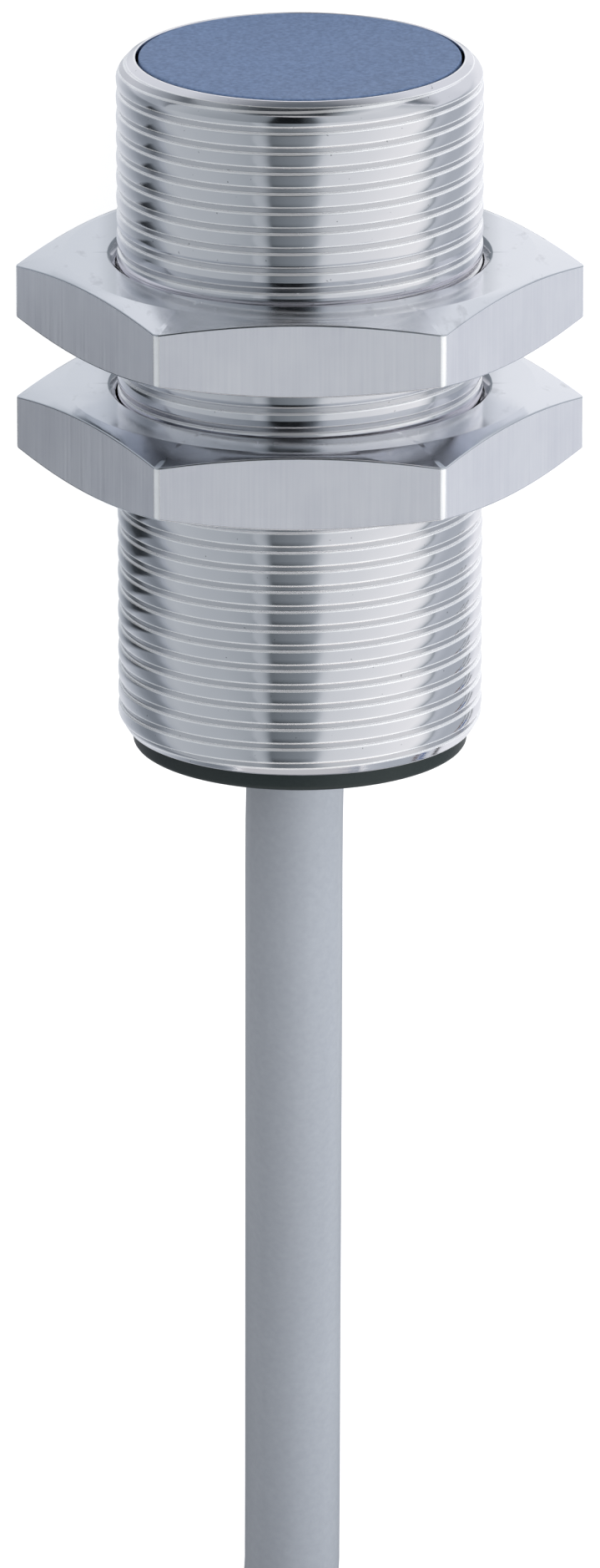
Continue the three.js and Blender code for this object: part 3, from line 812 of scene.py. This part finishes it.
def hank_path():
    """The stored length: the outer run of the first layer, the inner column up, the outer column down."""
    top = HANK_LAYERS
    z = layer_z
    parts = [straight(True, HANK_OUTER, HANK_OUTER, z(1), 1), fold(False, HANK_OUTER, z(1), z(1)),
             straight(False, HANK_OUTER, HANK_INNER, z(1), 2)]
    for layer in range(1, top):
        parts += [fold(True, HANK_INNER, z(layer), z(layer)),
                  straight(True, HANK_INNER, HANK_INNER, z(layer), 3 * layer),
                  fold(False, HANK_INNER, z(layer), z(layer + 1)),
                  straight(False, HANK_INNER, HANK_INNER, z(layer + 1), 3 * layer + 1)]
    parts += [fold(True, HANK_INNER, z(top), z(top)),
              straight(True, HANK_INNER, HANK_OUTER, z(top), 17), fold(False, HANK_OUTER, z(top), z(top)),
              straight(False, HANK_OUTER, HANK_OUTER, z(top), 18)]
    for layer in range(top, 2, -1):
        parts += [fold(True, HANK_OUTER, z(layer), z(layer - 1)),
                  straight(True, HANK_OUTER, HANK_OUTER, z(layer - 1), 5 * layer),
                  fold(False, HANK_OUTER, z(layer - 1), z(layer - 1)),
                  straight(False, HANK_OUTER, HANK_OUTER, z(layer - 1), 5 * layer + 2)]
    return np.vstack(parts)


def cable_path():
    """The whole centreline, from the end cap to the stripped end."""
    run = smooth_path(RUN_ROUTE, 2.0)
    bend = entry_bend()
    run = run[run[:, 1] < bend[0, 1] - 0.5]
    hank = hank_path()
    tail = smooth_path([hank[-2], hank[-1], *TAIL_ROUTE], 2.0)[1:]
    tail = tail[tail[:, 1] < hank[-1, 1] - 0.3]
    return np.vstack([run, bend, hank, tail])


def cable_curve(name, points, diameter, material, radii=None):
    """A round cable along a path in millimetres; radii are shares of its radius."""
    data = bpy.data.curves.new(name, "CURVE")
    data.dimensions = "3D"
    data.bevel_depth = diameter / 2 * MM
    data.bevel_resolution = 5
    data.use_fill_caps = True
    spline = data.splines.new("POLY")
    spline.points.add(len(points) - 1)
    flat = np.column_stack([np.asarray(points) * MM, np.ones(len(points))])
    spline.points.foreach_set("co", flat.ravel())
    if radii is not None:
        spline.points.foreach_set("radius", radii)
    spline.use_smooth = True
    data.materials.append(material)
    piece = bpy.data.objects.new(name, data)
    bpy.context.scene.collection.objects.link(piece)
    return piece


def make_ferrule(colour, points, materials):
    """A crimped ferrule: a wider mouth over the insulation, a pressed barrel and a rounded tip."""
    last, before = points[-1], points[-3]
    along = (last - before) / np.linalg.norm(last - before)
    reach, width = zip(*FERRULE_PROFILE)
    line = np.array([last + along * r for r in reach])
    piece = cable_curve(f"ferrule_{colour}_fine", line, FERRULE_DIAMETER, materials["tin"], width)
    declare(piece, "sensor", "tin", f"ferrule_{colour}")
    return piece


def make_cable(materials):
    """The cable with its cores, ferrules and strap, each declared as its own piece."""
    cable = cable_curve("cable_fine", cable_path(), CABLE_DIAMETER, materials["grey_cable"])
    declare(cable, "sensor", "grey_cable", "cable_run", "cable_hank", "cable_tail")
    on_it = []
    for colour, route in LEADS.items():
        points = smooth_path(route, 1.2)
        lead = cable_curve(f"lead_{colour}_fine", points, CORE_DIAMETER, materials[f"core_{colour}"])
        declare(lead, "sensor", f"core_{colour}", f"lead_{colour}")
        on_it += [lead, make_ferrule(colour, points, materials)]
    on_it.append(make_strap(materials))


def strap_loop():
    """The strap's path in X and Z, from the top's +X corner round under the hank to the top's -X corner."""
    grow = STRAP_THICKNESS / 2
    high = STRAP_HIGH[2] - 3 * grow
    half = HANK_OUTER + CABLE_DIAMETER / 2 - HANK_PINCH + grow
    corner = STRAP_CORNER + grow
    low = STRAP_LIFT + corner
    points = []
    arcs = [(half - corner, high - corner, 90, 0), (half - corner, low, 0, -90),
            (corner - half, low, -90, -180), (corner - half, high - corner, 180, 90)]
    for x, z, first, last in arcs:
        for angle in np.radians(np.linspace(first, last, 9)):
            points.append((HANK_X + x + corner * math.cos(angle), z + corner * math.sin(angle)))
    return np.array(points)


def strap_section():
    """The strap's section as (across, up) points in order round it, its corners cut off."""
    outline = []
    for side, face in ((-0.5, -0.5), (0.5, -0.5), (0.5, 0.5), (-0.5, 0.5)):
        across, up = side * STRAP_WIDTH, face * STRAP_THICKNESS
        cut = [(across - math.copysign(STRAP_EDGE, across), up), (across, up - math.copysign(STRAP_EDGE, up))]
        outline += cut if side * face > 0 else cut[::-1]
    return outline


def make_strap(materials):
    """The strap: a loop round the hank whose free end lies over its start on top."""
    ring = strap_loop()
    top = ring[0, 1]
    climb = HANK_X + STRAP_CLIMB
    begin = [[HANK_X + STRAP_START, top - 0.02]]
    over = [[climb + k * 1.6, top + STRAP_THICKNESS * min(1, 0.35 * k + 0.1)] for k in range(13)]
    path = np.vstack([begin, ring, [[climb - 2, top]], over])
    direction = np.gradient(path, axis=0)
    direction /= np.linalg.norm(direction, axis=1)[:, None]
    out = np.stack([-direction[:, 1], direction[:, 0]], -1)
    outline = strap_section()
    middle_y = (STRAP_LOW[1] + STRAP_HIGH[1]) / 2
    points = []
    for (x, z), (ox, oz) in zip(path, out):
        points += [(x + ox * up, middle_y + across, z + oz * up) for across, up in outline]
    size = len(outline)
    faces = [(k * size + j, k * size + (j + 1) % size, (k + 1) * size + (j + 1) % size, (k + 1) * size + j)
             for k in range(len(path) - 1) for j in range(size)]
    faces += [tuple(range(size)), tuple((len(path) - 1) * size + j for j in range(size))]
    strap = mesh_piece("hank_strap_fine", points, faces, [materials["strap_black"]])
    keep_flats_flat(strap)
    declare(strap, "sensor", "strap_black", "hank_strap")
    return strap


# Sealed inner pieces keep their CAD shape


def paint_inner_nodes(materials):
    """Gives every CAD node that is still shown the material of its slot."""
    slots = {row["node"]: row["material_slot"] for row in frame["record"]["subparts"]}
    for name, node in frame["nodes"].items():
        if not node.hide_render:
            node.data.materials.clear()
            node.data.materials.append(materials[slots[name]])


# Studio


def card_material(name):
    """A light-giving material whose colour is the card's own level at each point."""
    material = bpy.data.materials.new(name)
    material.use_nodes = True
    tree = material.node_tree
    tree.nodes.clear()
    level = tree.nodes.new("ShaderNodeAttribute")
    level.attribute_name = "level"
    emission = tree.nodes.new("ShaderNodeEmission")
    output = tree.nodes.new("ShaderNodeOutputMaterial")
    tree.links.new(level.outputs["Color"], emission.inputs["Color"])
    tree.links.new(emission.outputs[0], output.inputs["Surface"])
    material.cycles.emission_sampling = "NONE"
    return material


def graded(level, blue):
    """A card's colour at a level: its dark parts are cooler than its bright ones."""
    red, green, cool_blue = (level * (1 + change * (1 - level)) for change in CARD_COOLNESS)
    return (red, green, cool_blue * blue, 1.0)


def reflected_card(name, rows, blue=1.0):
    """A studio card that only reflections see, from rows of (x, y, z, level) points."""
    points = [p[:3] for row in rows for p in row]
    width = len(rows[0])
    faces = [(i * width + k, i * width + k + 1, (i + 1) * width + k + 1, (i + 1) * width + k)
             for i in range(len(rows) - 1) for k in range(width - 1)]
    mesh = bpy.data.meshes.new(name)
    mesh.from_pydata(points, [], faces)
    levels = mesh.color_attributes.new("level", "FLOAT_COLOR", "POINT")
    levels.data.foreach_set("color", [c for row in rows for p in row for c in graded(p[3], blue)])
    mesh.materials.append(card_material(name))
    card = bpy.data.objects.new(name, mesh)
    bpy.context.scene.collection.objects.link(card)
    card.visible_camera = False
    card.visible_diffuse = False
    card.visible_shadow = False
    card.visible_transmission = False
    card.visible_volume_scatter = False


def between(stops, place):
    """The levels at a place among (place, level, level, ...) stops."""
    places, *levels = zip(*stops)
    return [float(np.interp(place, places, level)) for level in levels]


def make_tent():
    """Graded cards in an arch along the axis, down to the ground on both sides."""
    rows = []
    for angle in range(-90, 91, 2):
        turn = math.radians(angle)
        x, z = CARD_DISTANCE * math.sin(turn), AXIS_Z * MM + CARD_DISTANCE * math.cos(turn)
        front, rear, ends = between(TENT_LEVELS, angle)
        deep = min(rear, TENT_DEEPENING * rear * rear)
        levels = (front, front, rear, rear, deep, deep, ends, ends)
        rows.append([(x, y, z, level) for y, level in zip(TENT_Y, levels)])
    feet = [[(x, y, CARD_LIFT, level) for x, y, z, level in rows[end]] for end in (0, -1)]
    reflected_card("card_tent", [feet[0], *rows, feet[1]])


def make_ground_card(name, side, stops):
    """A strip on the ground beside the sensor: side is +1 towards +X and -1 towards -X."""
    rows = []
    for x, front, rear, nuts in stops:
        at = side * x * MM
        far = 0.1 + between(FRONT_LEVELS, at)[0]
        levels = (far, far, front, front, rear, rear, nuts, nuts, rear, rear)
        rows.append([(at, y, CARD_LIFT, level) for y, level in zip(GROUND_Y, levels)])
    reflected_card(name, rows, GROUND_BLUE)


def make_cards():
    """The tent, two strips on the ground and an upright card before the sensing face."""
    make_tent()
    make_ground_card("card_ground_left", 1, LEFT_GROUND_LEVELS)
    make_ground_card("card_ground_right", -1, RIGHT_GROUND_LEVELS)
    rows = [[(x, FRONT_CARD_Y, z, level) for z in FRONT_CARD_Z] for x, level in FRONT_LEVELS]
    reflected_card("card_front", rows)


def make_floor():
    """The white ground, which gives most of its light itself, so that shadows stay faint."""
    material = bpy.data.materials.new("floor")
    material.use_nodes = True
    shader = material.node_tree.nodes["Principled BSDF"]
    shader.inputs["Base Color"].default_value = (FLOOR_GREY, FLOOR_GREY, FLOOR_GREY, 1)
    shader.inputs["Roughness"].default_value = 0.9
    shader.inputs["Specular IOR Level"].default_value = 0.0
    shader.inputs["Emission Color"].default_value = (1, 1, 1, 1)
    shader.inputs["Emission Strength"].default_value = FLOOR_GLOW
    material.cycles.emission_sampling = "NONE"
    corners = [(FLOOR_HALF * x, FLOOR_HALF * y, 0) for x, y in ((-1, -1), (1, -1), (1, 1), (-1, 1))]
    mesh = bpy.data.meshes.new("floor")
    mesh.from_pydata(corners, [], [(0, 1, 2, 3)])
    mesh.materials.append(material)
    floor = bpy.data.objects.new("floor", mesh)
    bpy.context.scene.collection.objects.link(floor)


def area_light(name, place, target, size, power):
    """A soft lamp that neither the camera nor a reflection sees."""
    data = bpy.data.lights.new(name, "AREA")
    data.shape = "RECTANGLE"
    data.size, data.size_y = size
    data.energy = power
    light = bpy.data.objects.new(name, data)
    light.location = place
    light.rotation_mode = "QUATERNION"
    light.rotation_quaternion = (Vector(target) - Vector(place)).to_track_quat("-Z", "Y")
    light.visible_camera = False
    light.visible_glossy = False
    bpy.context.scene.collection.objects.link(light)


def make_studio():
    """The sky, the lamps, the ground and the reflected cards."""
    world = bpy.data.worlds.new("world")
    bpy.context.scene.world = world
    world.use_nodes = True
    background = world.node_tree.nodes["Background"]
    background.inputs["Color"].default_value = SKY_COLOUR
    background.inputs["Strength"].default_value = SKY_STRENGTH
    for name, settings in LIGHTS.items():
        area_light(name, *settings)
    make_floor()
    make_cards()
    bpy.context.scene.view_settings.view_transform = "Standard"


make_camera()
MATERIALS = make_materials()
make_cable(MATERIALS)
make_sleeve(MATERIALS)
make_nut("front_nut", MATERIALS)
make_nut("rear_nut", MATERIALS)
make_face(MATERIALS)
make_end_cap(MATERIALS)
paint_inner_nodes(MATERIALS)
make_studio()
